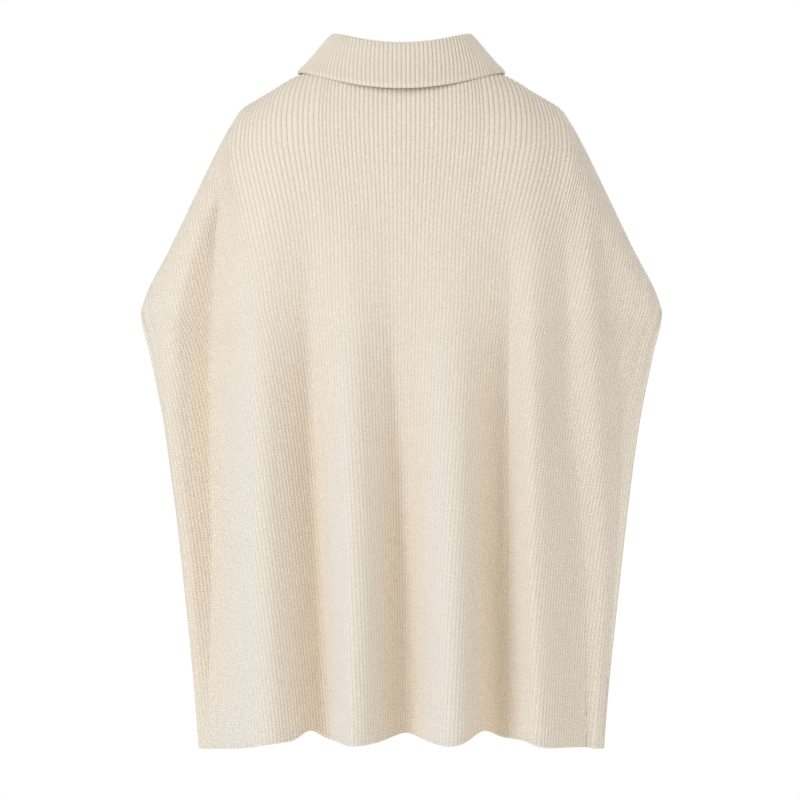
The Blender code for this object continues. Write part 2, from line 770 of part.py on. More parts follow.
def make_pull(frame):
    """The pull tab, whose origin is on the axis it swings about."""
    half = PULL_WIDTH / 2.0
    thick = PULL_THICK / 2.0
    low = (-half, thick - PULL_LENGTH, -thick)
    high = (half, thick, thick)
    pull = block_object("zip_pull", low, high, PULL_BEVEL)
    pull.matrix_world = frame @ Matrix.Translation((0.0, 0.0, PULL_AXIS_HEIGHT))
    width, length = PULL_WINDOW
    low = (-width / 2.0, -thick - length, -2.0 * PULL_THICK)
    high = (width / 2.0, -thick, 2.0 * PULL_THICK)
    window = block_object("pull_window", low, high, PULL_BEVEL)
    window.matrix_world = pull.matrix_world
    boolean(pull, window, "DIFFERENCE")


def make_bottom_stop():
    half = [size / 2.0 for size in STOP_SIZE]
    stop = block_object("zip_bottom_stop", [-h for h in half], half, STOP_BEVEL)
    stop.matrix_world = zip_frame(STOP_RUN)


# ---------------------------------------------------------------- assembly

for old in list(bpy.data.objects):
    bpy.data.objects.remove(old, do_unlink=True)

COLLECTION = bpy.data.collections.new("half_zip_poncho_sweater")
bpy.context.scene.collection.children.link(COLLECTION)
CUTTERS = bpy.data.collections.new("cutters")
bpy.context.scene.collection.children.link(CUTTERS)

make_panel("back_panel", "back", 0)
make_panel("front_panel", "front", SLIT_ROWS)
make_collar()
make_tape("zip_tape_left", 1.0)
make_tape("zip_tape_right", -1.0)
make_slider(zip_frame(SLIDER_RUN))
make_pull(zip_frame(SLIDER_RUN))
make_bottom_stop()
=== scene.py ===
"""Looks of the half-zip poncho sweater: rib knit, zip, studio floor, light and camera.

Metres, +Z up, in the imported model's own frame: the front faces -Y and the wearer's
left is +X. Each panel is a sheet over share, which runs across the ribs from -1 at the
right side edge to 1 at the left one, and run, which goes along a rib from 0 at the top
line to 1 at the hem.
"""

import math

import bmesh
import bpy
import numpy as np
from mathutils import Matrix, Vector


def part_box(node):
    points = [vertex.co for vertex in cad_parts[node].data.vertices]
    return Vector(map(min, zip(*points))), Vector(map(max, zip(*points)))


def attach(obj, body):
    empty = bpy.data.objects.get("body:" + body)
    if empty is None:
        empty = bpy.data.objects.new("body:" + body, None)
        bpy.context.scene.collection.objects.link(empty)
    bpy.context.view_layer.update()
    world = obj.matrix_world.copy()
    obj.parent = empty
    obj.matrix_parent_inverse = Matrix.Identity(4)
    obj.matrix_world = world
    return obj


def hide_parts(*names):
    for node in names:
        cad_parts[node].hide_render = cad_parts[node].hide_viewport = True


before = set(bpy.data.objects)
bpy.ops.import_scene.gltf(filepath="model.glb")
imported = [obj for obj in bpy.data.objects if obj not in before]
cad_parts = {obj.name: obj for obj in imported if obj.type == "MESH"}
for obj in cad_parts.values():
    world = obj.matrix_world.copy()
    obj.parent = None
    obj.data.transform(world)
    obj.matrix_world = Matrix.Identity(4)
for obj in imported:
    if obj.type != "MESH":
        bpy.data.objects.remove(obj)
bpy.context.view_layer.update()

# ------------ sizes of the sheets

# They follow the solids but for three, fitted to the photo: the folds' crests are
# sharper, the back's right crest and right soft trough lie further in near the hem,
# and the collar's last ring is lower at the sides.

GAP = 0.0003  # clear space between two pieces
WALL = 0.003  # thickness of the plain cloth
RIB_RISE = 0.0012  # how far a rib stands up from the plain wall

NECK_HALF = 0.083  # the neck seam, seen from above
NECK_DEPTH = {"back": 0.066, "front": 0.080}
NECK_SHARE = 0.235  # share of a panel's ribs that end in the neck seam
NECK_ROUNDNESS = 0.25  # 0 spaces the neck's ribs evenly in x, 1 evenly in angle
TIP_X = 0.300  # half the garment's width, at the arm tips
TIP_Z = -0.269  # and their height
HEM_Z = -0.755  # hem height at the centre
HEM_CORNER_DROP = 0.017  # how much lower it is at the side edges
SETTLE_START = 0.02  # the ribs spread at the shoulders and close up over this drop
SETTLE_END = 0.23
FORM_LENGTH = 0.60  # drop over which the body's depth changes to the hem's
SIDE = {"back": 1.0, "front": -1.0}  # which way each panel lies along Y

# The top line, from the middle of the neck over the shoulder and down the arm.
SHOULDER_LINE = (
    # distance from the centre, height
    (0.000, 0.0200),
    (0.060, 0.0175),
    (0.088, 0.0110),
    (0.110, 0.0030),
    (0.130, -0.0065),
    (0.149, -0.0185),
    (0.169, -0.0300),
    (0.183, -0.0395),
    (0.191, -0.0510),
    (0.2045, -0.0740),
    (0.2335, -0.1320),
    (0.2675, -0.2015),
    (0.292, -0.2480),
    (TIP_X, TIP_Z),
)

# The free side edge, from the arm tip to the hem.
SIDE_EDGE = (
    # height, distance from the centre
    (-0.780, 0.2305),
    (-0.700, 0.2370),
    (-0.600, 0.2475),
    (-0.500, 0.2590),
    (-0.400, 0.2730),
    (-0.320, 0.2890),
    (TIP_Z, TIP_X),
    (0.050, TIP_X),
)

# The depth that the cloth hangs at, by its place between the centre and the side edge.
FORM = {
    "back": (
        # place at arm tip scale, depth under the shoulder, at the hem, drop to full depth
        (0.000, 0.115, 0.088, 0.100),
        (0.084, 0.109, 0.088, 0.099),
        (0.140, 0.096, 0.084, 0.092),
        (0.190, 0.072, 0.072, 0.075),
        (0.245, 0.044, 0.050, 0.055),
        (TIP_X, 0.016, 0.028, 0.035),
    ),
    "front": (
        (0.000, 0.120, 0.094, 0.130),
        (0.084, 0.108, 0.094, 0.115),
        (0.140, 0.092, 0.086, 0.095),
        (0.190, 0.072, 0.072, 0.078),
        (0.245, 0.042, 0.048, 0.055),
        (TIP_X, 0.014, 0.026, 0.035),
    ),
}

# Folds, from the wearer's right to left: where each crest or trough lies across the
# panel and how far it stands out (+) or in (-), at five heights.
FOLD_LEVELS = (-0.76, -0.56, -0.38, -0.26, -0.14)
FOLDS = {
    "back": (
        # name, x at the five levels, millimetres out at the five levels
        ("right edge trough", (-0.231, -0.245, -0.252, -0.234, -0.224), (-1, -2, -4, -4, -2)),
        ("right crest", (-0.222, -0.231, -0.221, -0.213, -0.207), (1, 1, 6, 5, 2)),
        ("right soft trough", (-0.211, -0.205, -0.186, -0.184, -0.178), (-9, -9, -8, -5, -1)),
        ("right mid crest", (-0.157, -0.149, -0.148, -0.147, -0.146), (9, 8, 8, 5, 1)),
        ("right deep trough", (-0.120, -0.120, -0.119, -0.118, -0.116), (-42, -36, -23, -9, 0)),
        ("centre right crest", (-0.054, -0.055, -0.056, -0.052, -0.046), (24, 20, 12, 4, 0)),
        ("centre trough", (-0.010, -0.006, 0.004, 0.011, 0.018), (-33, -27, -14, -4, 0)),
        ("centre left crest", (0.054, 0.054, 0.057, 0.057, 0.062), (22, 19, 14, 6, 0)),
        ("left deep trough", (0.081, 0.092, 0.101, 0.105, 0.108), (-33, -30, -21, -8, 0)),
        ("left broad crest", (0.158, 0.162, 0.163, 0.160, 0.155), (22, 20, 17, 10, 3)),
        ("left arm trough", (0.222, 0.216, 0.217, 0.213, 0.207), (0, -18, -23, -20, -6)),
        ("left arm crest", (0.229, 0.247, 0.266, 0.262, 0.222), (0, 4, 10, 11, 3)),
    ),
    "front": (
        ("right edge trough", (-0.224, -0.243, -0.251, -0.244, -0.232), (-2, -4, -8, -7, -4)),
        ("right crest", (-0.200, -0.205, -0.201, -0.199, -0.198), (16, 14, 11, 8, 3)),
        ("right deep trough", (-0.156, -0.150, -0.147, -0.148, -0.150), (-30, -26, -16, -8, 0)),
        ("right mid crest", (-0.104, -0.100, -0.099, -0.102, -0.108), (28, 22, 12, 5, 0)),
        ("centre right trough", (-0.060, -0.056, -0.051, -0.051, -0.052), (-27, -21, -11, -4, 0)),
        ("centre crest", (-0.010, -0.008, -0.005, -0.002, 0.000), (25, 18, 8, 2, 0)),
        ("centre left trough", (0.036, 0.042, 0.047, 0.051, 0.055), (-28, -22, -11, -4, 0)),
        ("left mid crest", (0.075, 0.080, 0.087, 0.098, 0.110), (24, 20, 13, 6, 0)),
        ("left deep trough", (0.118, 0.124, 0.129, 0.139, 0.150), (-29, -25, -15, -7, 0)),
        ("left broad crest", (0.180, 0.190, 0.188, 0.191, 0.196), (16, 15, 12, 9, 3)),
        ("left arm trough", (0.222, 0.240, 0.244, 0.236, 0.226), (-3, -8, -9, -7, -4)),
    ),
}

# Where the hem swings up towards or away from the wearer.
HEM_LIFTS = {
    "back": (
        # place across the hem, height of the rise, half its width
        (-0.139, 0.0045, 0.016),
        (-0.092, 0.0135, 0.019),
        (-0.002, 0.0060, 0.020),
        (0.103, 0.0120, 0.014),
        (0.139, 0.0060, 0.035),
    ),
    "front": (
        (-0.150, 0.0080, 0.020),
        (-0.055, 0.0090, 0.018),
        (0.040, 0.0110, 0.017),
        (0.122, 0.0070, 0.021),
    ),
}
FOLD_START = 0.10  # the folds grow in over this drop below the top line
TROUGH_ROUND = 0.16  # share of a fold's side that rounds its trough
CREST_ROUND = 0.29  # and its crest
NARROWEST_FOLD = 1e-4  # keeps a fold's side from having no width at all
SPREAD_LEVELS = np.linspace(-0.78, 0.03, 28)  # heights at which the ribs are spaced out

# The collar's middle surface as rings, from above the neck seam to its turned edge.
COLLAR_RINGS = (
    # half width, depth back, depth front, height side, back, front, half opening
    (0.0790, 0.0650, 0.0810, 0.0360, 0.0200, 0.0060, 0.006),
    (0.0755, 0.0630, 0.0790, 0.0425, 0.0245, 0.0140, 0.010),
    (0.0800, 0.0675, 0.0835, 0.0473, 0.0283, 0.0180, 0.013),
    (0.0845, 0.0720, 0.0880, 0.0440, 0.0247, 0.0140, 0.016),
    (0.0985, 0.0860, 0.1030, 0.0285, 0.0035, -0.0120, 0.026),
    (0.1125, 0.0985, 0.1130, 0.0120, -0.0145, -0.0340, 0.036),
    (0.1190, 0.1070, 0.1175, 0.0049, -0.0255, -0.0450, 0.042),
)
COLLAR_FOOT = 0.003  # the collar rises straight from the neck seam over this height

ZIP_END_RUN = 0.50  # the zip opening's lower end on the front panel
SLIT_END_RUN = 0.506  # where the knit below it is whole again
SLIT_HALF = 0.004  # half its width
SLIT_REACH = 0.1  # share of the panel over which the ribs make room for it
TAPE_INNER = 0.0012  # the tape's inner edge, from the opening's centre line
TAPE_OUTER = 0.0130  # and its outer one
TAPE_ON_COLLAR = 0.967  # how far round the collar its tape's outer edge lies
TAPE_THICK = 0.0008
TAPE_CLEAR = 2.0 * GAP  # between the tape and the knit

# ------------ sizes of the finish

RIBS = 80  # ribs of the knit from a panel's centre line to its side edge
RIB_STEPS = 4  # points across one rib on the side that shows
RIB_ROUND = 0.7  # 1 gives the ribs a sine's outline, less a fuller one
PANEL_ROWS = 112
COLLAR_RIBS = 48  # from the middle of the back to one front edge
COLLAR_ROWS = 44
RIM_TURNS = 3  # steps round the thickness of an edge
SEAM_ROUND = 0.02  # how round the edge in the shoulder seam is, where 1 is a free edge
FOOT_ROUND = 0.1  # the same for the collar's foot
MERGE = 1e-7  # points of a shell that are nearer than this are one
LINE_SAMPLES = 400  # on a line whose length is measured
NORMAL_STEP = 0.002  # share or run over which a sheet's slope is measured
SLOPE_STEP = 0.001  # the same on the top line, in metres
FORM_LIMIT = 0.99  # the furthest that a neck point counts out on the form
UPWARD = 0.5  # how much facing up counts beside facing out, for a panel's outside
STITCH = 0.0030  # height of one knit stitch
EDGE_FADE = 0.05  # share of the panel over which ribs flatten towards the side edge
EDGE_RISE = 0.35  # what is left of a rib's height there
FAN_CENTRE = 0.72  # spacing of the collar's ribs at the back of its turned edge
FAN_START = 4  # row of the collar from which its ribs begin to fan
COLLAR_ROLL = 0.0007  # how far the turned edge's rolled rim stands out on each side
COLLAR_ROLL_WIDTH = 0.0014
COLLAR_EDGE_RISE = 0.15  # what is left of a rib's height on it
COLLAR_END = 0.99  # a place just inside the collar's front edge
TAPE_PANEL_ROWS = 60
TAPE_ROWS = 180
TAPE_COLUMNS = 12
TAPE_CORD = 0.12  # share of the tape's width taken by the cord that carries the teeth
TAPE_CORD_RISE = 0.0005  # how far the cord stands up
TAPE_WEAVE = 0.0008  # length of one weave stitch
TOOTH_PITCH = 0.0030
TOOTH_SIZE = (0.0030, 0.0012, 0.0017)  # across the tape, along it and out of it
TOOTH_BEVEL = 0.0003
TOOTH_REACH = 0.0006  # from the tape's inner edge to a tooth's middle
TOOTH_OFFSET = {1.0: 0.25, -1.0: 0.75}  # the two rows stand half a pitch apart
TOOTH_CLEAR = 0.0065  # no tooth is this near the slider's middle
SHARP_ANGLE = 40.0  # edges of small pieces that turn more, in degrees, stay sharp
STITCH_RINGS = 6
STITCH_SIDES = 6
THREAD = 0.00035  # radius of the sewing thread
THREAD_PITCH = 0.0032
THREAD_STITCH = 0.86 * THREAD_PITCH  # length of the thread that shows
THREAD_END = 0.15  # least share of its radius, where it goes into the cloth
THREAD_FULL = 0.6  # 1 tapers it as a sine, less makes it fuller
THREAD_START = 0.03  # run on the front panel where the stitches begin

# ------------ looks

STITCH_SLANT = 1.3  # how steeply a stitch's legs slant
LEG_SHADE = 0.04  # how dark it is between two legs
LEG_LINE = 0.97  # where the legs meet, from 0 in the furrow to 1 on the crest
FURROW_SHADE_POWER = 5.0  # how narrow the furrows' painted shade line is
FUZZ = 1400.0  # fine hairs, per metre
GRAIN = 800.0  # specks of the yarn's loops
SLUB = 260.0  # thick and thin places of the yarn
CLOUD = 30.0  # paler and warmer patches of the cloth
KNIT_RISES = (0.3, 0.2, 0.4, 0.12, 0.3)  # how high legs, line, fuzz, slub and grain stand
KNIT_BUMP = 0.0006  # metres to one of these
GRAIN_GAIN = 3.4  # how strongly the specks stand out from their mean
GRAIN_SHARE = 0.11  # how much of the yarn's colour they change
GRAIN_TROUGH_SHADE = 0.16  # and how much more where the painted trough shade lies
KNIT_PALE = (0.903, 0.880, 0.832)
KNIT_WARM = (0.893, 0.857, 0.792)
# painted shade: the dark colour laid into the furrows between ribs
KNIT_FURROW_SHADE = (0.56, 0.46, 0.33)
KNIT_SHEEN = (1.0, 0.97, 0.92)
KNIT_TROUGH_SHADE = (0.92, 0.772, 0.60)  # painted warm shade, where the cloth faces itself across a trough
TROUGH_SHADE_DEPTH = (-0.019, 0.042)  # depths of fold at which that painted shade starts and is full
TROUGH_SHADE_FRONT = 0.55  # how much of the painted trough shade the front shows
TROUGH_SHADE_SHIFT = 0.015  # how far the painted trough shade lies, on the back, towards the trough's left side, which faces away from the key light
FURROW_OPEN = (-0.25, -0.05)  # heights between which the furrows open towards the shoulders: the ribs rise there and the painted furrow shade grows
FURROW_SHADE_LEAST = 0.32  # how strong the painted furrow shade is lower down
FURROW_SHADE_MOST = 0.82  # and on the shoulders
RIB_CLOSED = 0.78  # share of a rib's height that is left lower down
WEAVE_SLANT = 2.0  # how steeply the tape's herringbone slants
FINE_BUMP = 0.0001  # height of the tape's and the thread's relief
TAPE_CLOUD = 60.0
THREAD_TWIST = 900.0
BRUSHING = 700.0
WEAR = 90.0
FLOOR_CLOUD = 2.0
TAPE_WARM = (0.80, 0.71, 0.58)
TAPE_PALE = (0.86, 0.78, 0.66)
THREAD_PALE = (0.90, 0.83, 0.72)
SLIDER_COLOUR = (0.62, 0.58, 0.50)
TOOTH_COLOUR = (0.66, 0.62, 0.54)
METAL_BUMP = 0.00004
METAL_DULL = 0.18  # how much rougher worn metal is
METAL_DARK = 0.82  # and how dark
FLOOR_GREY = (0.90, 0.90, 0.89)
FLOOR_PALE = (0.93, 0.93, 0.92)
FLOOR_Z = -1.42
FLOOR_HALF = 2.5

CAMERA_PLACE = (0.00174, 2.5, -0.37352)
CAMERA_LENS = 96.98
WORLD_LIGHT = 0.548  # the backdrop's strength as a light
WORLD_TINT = (1.0, 0.965, 0.90)
WHITE = (1.0, 1.0, 1.0)
LIGHT_SIZE = 1.6
NECK = (0.0, 0.0, 0.0)
MIDDLE = (0.0, 0.0, -0.35)
LIGHTS = (
    # name, place, what it is turned to, power
    ("key", (1.86, 2.22, 0.1), MIDDLE, 31.0),
    ("fill", (-2.5, 1.0, -0.3), MIDDLE, 11.0),
    ("top", (0.3, 1.4, 2.2), NECK, 12.0),
    ("front", (-0.9, -2.4, 0.25), MIDDLE, 26.0),
)

# ------------ curves and shares


def smoothstep(x):
    x = np.clip(x, 0.0, 1.0)
    return x * x * (3.0 - 2.0 * x)


def eased(s, width, low, high, low_slope, high_slope):
    """A curve's value at a share of the width between two points with given slopes."""
    rise = s * s * (3.0 - 2.0 * s)
    lead = s * (1.0 - s) ** 2
    trail = -s * s * (1.0 - s)
    return low + (high - low) * rise + width * (low_slope * lead + high_slope * trail)


def running(steps):
    """Length from a line's start to each of its points, from the steps between them."""
    return np.concatenate(([0.0], np.cumsum(steps)))


def through(points, x):
    """A smooth curve through (x, y) points in rising x, without overshoot."""
    px, py = np.array(points, dtype=float).T[:2]
    chord = np.diff(py) / np.diff(px)
    slope = np.concatenate(([chord[0]], (chord[1:] + chord[:-1]) / 2.0, [chord[-1]]))
    turn = chord[1:] * chord[:-1] <= 0.0
    slope[1:-1][turn] = 0.0
    x = np.clip(x, px[0], px[-1])
    i = np.clip(np.searchsorted(px, x) - 1, 0, len(px) - 2)
    width = px[i + 1] - px[i]
    return eased((x - px[i]) / width, width, py[i], py[i + 1], slope[i], slope[i + 1])


def mirrored(points, x):
    """A smooth curve through points from the centre outwards, alike on both sides."""
    x1, y1 = points[1]
    return through([(-x1, y1), *points], np.abs(x))


def column(table, index, x):
    """One column of a table, read smoothly by distance from the centre."""
    return mirrored([(row[0], row[index]) for row in table], x)


def form_columns(side, x):
    """The form's depth under the shoulder and at the hem, and its drop to full depth."""
    return [column(FORM[side], index, x) for index in (1, 2, 3)]


def line_height(x):
    return mirrored(SHOULDER_LINE, x)


def side_edge(z):
    return through(SIDE_EDGE, z)


def shoulder_x(share):
    """Distance from the centre at a share of the seam's length, neck to arm tip."""
    x = np.linspace(NECK_HALF, TIP_X, LINE_SAMPLES)
    length = running(np.hypot(np.diff(x), np.diff(line_height(x))))
    return np.interp(share, length / length[-1], x)


def neck_drop(side, x, y):
    """How far the form has fallen below the top line at a point of the neck seam."""
    depth, _, rise = form_columns(side, x)
    return rise * (1.0 - np.sqrt(1.0 - np.clip(y / depth, 0.0, FORM_LIMIT) ** 2))


def rib_start(side, share):
    """Where a rib starts: its x, the top line's height there, and the drop below it."""
    across = np.abs(share)
    s = np.minimum(across / NECK_SHARE, 1.0)
    angle = NECK_ROUNDNESS * s * math.pi / 2.0 + (1.0 - NECK_ROUNDNESS) * np.arcsin(s)
    neck_x = NECK_HALF * np.sin(angle)
    neck_y = NECK_DEPTH[side] * np.cos(angle)
    beyond = np.clip((across - NECK_SHARE) / (1.0 - NECK_SHARE), 0.0, 1.0)
    on_neck = across < NECK_SHARE
    x = np.where(on_neck, neck_x, shoulder_x(beyond))
    drop = np.where(on_neck, neck_drop(side, neck_x, neck_y), 0.0)
    return x * np.sign(share), line_height(x), drop


# ------------ the draped sheet


def form_depth(side, across, drop):
    top, hem, rise = form_columns(side, across)
    bend = np.clip(1.0 - drop / rise, 0.0, 1.0)
    depth = top + (hem - top) * smoothstep(drop / FORM_LENGTH)
    return depth * np.sqrt(1.0 - bend * bend)


def fold_side(s):
    """The side of a fold, from 0 in its narrow trough up a straight flank to 1 on its crest."""
    s = np.clip(s, 0.0, 1.0)
    slope = 1.0 / (1.0 - (TROUGH_ROUND + CREST_ROUND) / 2.0)
    low = slope * s * s / (2.0 * TROUGH_ROUND)
    flank = slope * (s - TROUGH_ROUND / 2.0)
    high = 1.0 - slope * (1.0 - s) ** 2 / (2.0 * CREST_ROUND)
    return np.where(s < TROUGH_ROUND, low, np.where(s < 1.0 - CREST_ROUND, flank, high))


def fold_height(side, x, z, drop):
    """How far the folds stand out from the form at a point of the sheet."""
    level = np.clip(z, FOLD_LEVELS[0], FOLD_LEVELS[-1])
    edge = side_edge(z)
    place = [-edge]
    height = [np.zeros_like(x)]
    for _, at, out in FOLDS[side]:
        place.append(through(list(zip(FOLD_LEVELS, at)), level))
        height.append(through(list(zip(FOLD_LEVELS, out)), level) / 1000.0)
    place.append(edge)
    height.append(np.zeros_like(x))
    total = np.zeros_like(x)
    for k in range(len(place) - 1):
        s = (x - place[k]) / np.maximum(place[k + 1] - place[k], NARROWEST_FOLD)
        inside = (s >= 0.0) & (s < 1.0)
        rising = height[k + 1] > height[k]
        low = np.minimum(height[k], height[k + 1])
        high = np.maximum(height[k], height[k + 1])
        wave = low + (high - low) * fold_side(np.where(rising, s, 1.0 - s))
        total = np.where(inside, wave, total)
    return total * smoothstep(drop / FOLD_START)


def hanging_depth(side, x, z):
    """How far the sheet hangs out from the wearer's middle plane at a place and height."""
    across = x * TIP_X / side_edge(z)
    drop = np.maximum(line_height(across) - z, 0.0)
    return form_depth(side, across, drop) + fold_height(side, x, z, drop)


def even_rows(side):
    """Where the ribs lie across each level, evenly spaced along its waves."""
    share = np.linspace(-1.0, 1.0, LINE_SAMPLES + 1)
    middle = len(share) // 2
    rows = []
    for z in SPREAD_LEVELS:
        x = share * side_edge(z)
        depth = hanging_depth(side, x, np.full_like(x, z))
        length = running(np.hypot(np.diff(x), np.diff(depth)))
        length -= length[middle]
        even = np.where(length < 0.0, length / -length[0], length / length[-1])
        rows.append(np.interp(share, even, share))
    return share, np.array(rows)


EVEN_ROWS = {side: even_rows(side) for side in SIDE}


def spread(side, share, z):
    """The share of the half width at which a rib lies at a height."""
    grid, rows = EVEN_ROWS[side]
    place = (z - SPREAD_LEVELS[0]) / (SPREAD_LEVELS[1] - SPREAD_LEVELS[0])
    place = np.clip(place, 0.0, len(SPREAD_LEVELS) - 1.001)
    low = place.astype(int)
    levels = np.array([np.interp(share, grid, row) for row in rows])
    below = np.take_along_axis(levels, low[None], axis=0)[0]
    above = np.take_along_axis(levels, low[None] + 1, axis=0)[0]
    return below + (above - below) * (place - low)


def hem_height(side, share):
    """The hem's height: lowest at the corners, lifted where it swings up."""
    x = side_edge(HEM_Z) * spread(side, share, np.full_like(share, HEM_Z))
    hem = HEM_Z - HEM_CORNER_DROP * share**2
    for place, height, width in HEM_LIFTS[side]:
        hem = hem + height * np.exp(-(((x - place) / width) ** 2))
    return hem


def sheet_points(side, share, run):
    """Points of a panel's middle surface, for arrays of share and run."""
    start_x, line, start_drop = rib_start(side, share)
    top = line - start_drop
    hem = hem_height(side, share)
    z = top - (top - hem) * run**2
    low = side_edge(z) * spread(side, share, z)
    low_start = side_edge(top) * spread(side, share, top)
    fallen = (top - z - SETTLE_START) / (SETTLE_END - SETTLE_START)
    x = low + (start_x - low_start) * (1.0 - smoothstep(fallen))
    y = hanging_depth(side, x, z)
    return np.stack([x, SIDE[side] * (y + GAP / 2.0), z], axis=-1)


def unit(vectors):
    return vectors / np.linalg.norm(vectors, axis=-1, keepdims=True)


def sheet_normals(side, share, run):
    """Unit normals of a panel's middle surface, pointing away from the wearer."""
    lower, upper = (np.clip(run + step, 0, 1) for step in (NORMAL_STEP, -NORMAL_STEP))
    left, right = (np.clip(share + step, -1, 1) for step in (NORMAL_STEP, -NORMAL_STEP))
    along = sheet_points(side, share, lower) - sheet_points(side, share, upper)
    across = sheet_points(side, left, run) - sheet_points(side, right, run)
    normal = np.cross(across, along)
    facing = normal[..., 1] * SIDE[side] + UPWARD * normal[..., 2]
    normal = normal * np.where(facing < 0.0, -1.0, 1.0)[..., None]
    on_seam = (run == 0.0) & (np.abs(share) >= NECK_SHARE)
    normal[..., 1] = np.where(on_seam, 0.0, normal[..., 1])
    return unit(normal)


# ------------ knitted shells


class Shell:
    """A closed sheet of cloth in the making: its points, stitch places and faces."""

    def __init__(self):
        self.points = []
        self.stitches = []
        self.faces = []
        self.count = 0

    def add_points(self, points, stitches):
        shape = points.shape[:-1]
        index = self.count + np.arange(np.prod(shape)).reshape(shape)
        self.points.append(points.reshape(-1, 3))
        self.stitches.append(stitches.reshape(-1, 2))
        self.count += index.size
        return index

    def add_grid(self, grid):
        """Faces between neighbouring rows and columns of a grid of point numbers."""
        corners = (grid[:-1, :-1], grid[:-1, 1:], grid[1:, 1:], grid[1:, :-1])
        self.faces.extend(np.stack(corners, axis=-1).reshape(-1, 4).tolist())

    def add_sides(self, outer, inner, stitches):
        """Both sides of a piece; the inner one has every other row and column."""
        outer_grid = self.add_points(outer, stitches)
        inner_grid = self.add_points(inner, stitches[::2, ::2])
        self.add_grid(outer_grid)
        self.add_grid(inner_grid)
        return outer, inner, stitches, outer_grid, inner_grid

    def close(self, sides, edge, beside, roundness=1.0, inner_edge=None):
        """Rounds off an edge, away from the line of points beside it."""
        outer, inner, stitches, outer_grid, inner_grid = sides
        inner_edge = inner_edge or edge
        front, back = outer[edge], inner[inner_edge]
        places = np.linspace(0.0, len(back) - 1.0, len(front))
        back = np.stack([np.interp(places, range(len(back)), part) for part in back.T], -1)
        middle = (front + back) / 2.0
        half = (front - back) / 2.0
        beyond = unit(front - outer[beside]) * roundness
        reach = beyond * np.linalg.norm(half, axis=-1, keepdims=True)
        lines = [outer_grid[edge]]
        for k in range(1, RIM_TURNS + 1):
            turn = math.pi * k / (RIM_TURNS + 1)
            line = middle + half * math.cos(turn) + reach * math.sin(turn)
            lines.append(self.add_points(line, stitches[edge]))
        self.add_grid(np.stack(lines))
        last = lines[-1].tolist()
        ends = inner_grid[inner_edge].tolist()
        for k in range(len(ends) - 1):
            self.faces.append([*last[2 * k : 2 * k + 3], ends[k + 1], ends[k]])

    def make(self, name, material):
        mesh = bpy.data.meshes.new(name)
        points = np.concatenate(self.points)
        mesh.from_pydata(points.tolist(), [], self.faces)
        stitches = np.concatenate(self.stitches)
        loops = np.empty(len(mesh.loops), dtype=int)
        mesh.loops.foreach_get("vertex_index", loops)
        layer = mesh.uv_layers.new(name="stitches")
        layer.uv.foreach_set("vector", stitches[loops].ravel())
        # painted shade: how deep each point lies in a fold's trough, for a warmer, darker colour
        # there
        trough_shade = mesh.attributes.new("trough_shade", "FLOAT", "POINT")
        trough_shade.data.foreach_set("value", trough_shade_share(points))
        mesh.shade_smooth()
        return finish_piece(name, mesh, material, merge=MERGE)


def trough_shade_share(points):
    """How far each point lies in a trough of the back or front, from 0 to 1, for the painted warm
    shade there.
    """
    x, y, z = points.T
    at_back = y > 0.0
    x = np.where(at_back, x - TROUGH_SHADE_SHIFT, x)
    drop = np.maximum(line_height(x) - z, 0.0)
    depth = np.where(at_back, *(fold_height(side, x, z, drop) for side in SIDE))
    start, full = TROUGH_SHADE_DEPTH
    share = np.clip((-depth - start) / (full - start), 0.0, 1.0)
    return share * np.where(at_back, 1.0, TROUGH_SHADE_FRONT)


def add_object(name, data, place=(0.0, 0.0, 0.0)):
    thing = bpy.data.objects.new(name, data)
    thing.location = place
    bpy.context.scene.collection.objects.link(thing)
    return thing


def finish_piece(name, mesh, material, merge=0.0):
    """Joins points that coincide, turns every face outwards and shows the piece."""
    bm = bmesh.new()
    bm.from_mesh(mesh)
    if merge:
        bmesh.ops.remove_doubles(bm, verts=bm.verts, dist=merge)
    bmesh.ops.recalc_face_normals(bm, faces=bm.faces)
    bm.to_mesh(mesh)
    bm.free()
    mesh.materials.append(material)
    return add_object(name, mesh)


def rib_profile(place):
    """A rib's height, 0 in the furrow to 1 on the crest, by its place in ribs."""
    return np.abs(np.sin(math.pi * place)) ** RIB_ROUND


def half_sheet(side, sign, runs):
    """Outer and inner points of half a panel, with the place of each in stitches."""
    columns = RIB_STEPS * RIBS
    run, share = np.meshgrid(runs, sign * np.arange(columns + 1) / columns, indexing="ij")
    middle = sheet_points(side, share, run)
    ribs = share * RIBS
    if side == "front":
        near = np.clip(1.0 - np.abs(share) / SLIT_REACH, 0.0, 1.0)
        width = np.clip((SLIT_END_RUN - run) / (SLIT_END_RUN - ZIP_END_RUN), 0.0, 1.0)
        middle[..., 0] += sign * SLIT_HALF * near * width
    normal = sheet_normals(side, share, run)
    fade = EDGE_RISE + (1.0 - EDGE_RISE) * smoothstep((1.0 - np.abs(share)) / EDGE_FADE)
    low, high = FURROW_OPEN
    stretched = smoothstep((middle[..., 2] - low) / (high - low))
    fade = fade * (RIB_CLOSED + (1.0 - RIB_CLOSED) * stretched)
    rise = RIB_RISE * rib_profile(ribs) * fade
    outer = middle + normal * (WALL / 2.0 + rise)[..., None]
    inner = middle - normal * WALL / 2.0
    steps = np.linalg.norm(np.diff(middle, axis=0), axis=-1)
    above_hem = np.concatenate((np.cumsum(steps[::-1], axis=0)[::-1], np.zeros((1, columns + 1))))
    stitches = np.stack([ribs, above_hem / STITCH], axis=-1)
    return outer, inner[::2, ::2], stitches


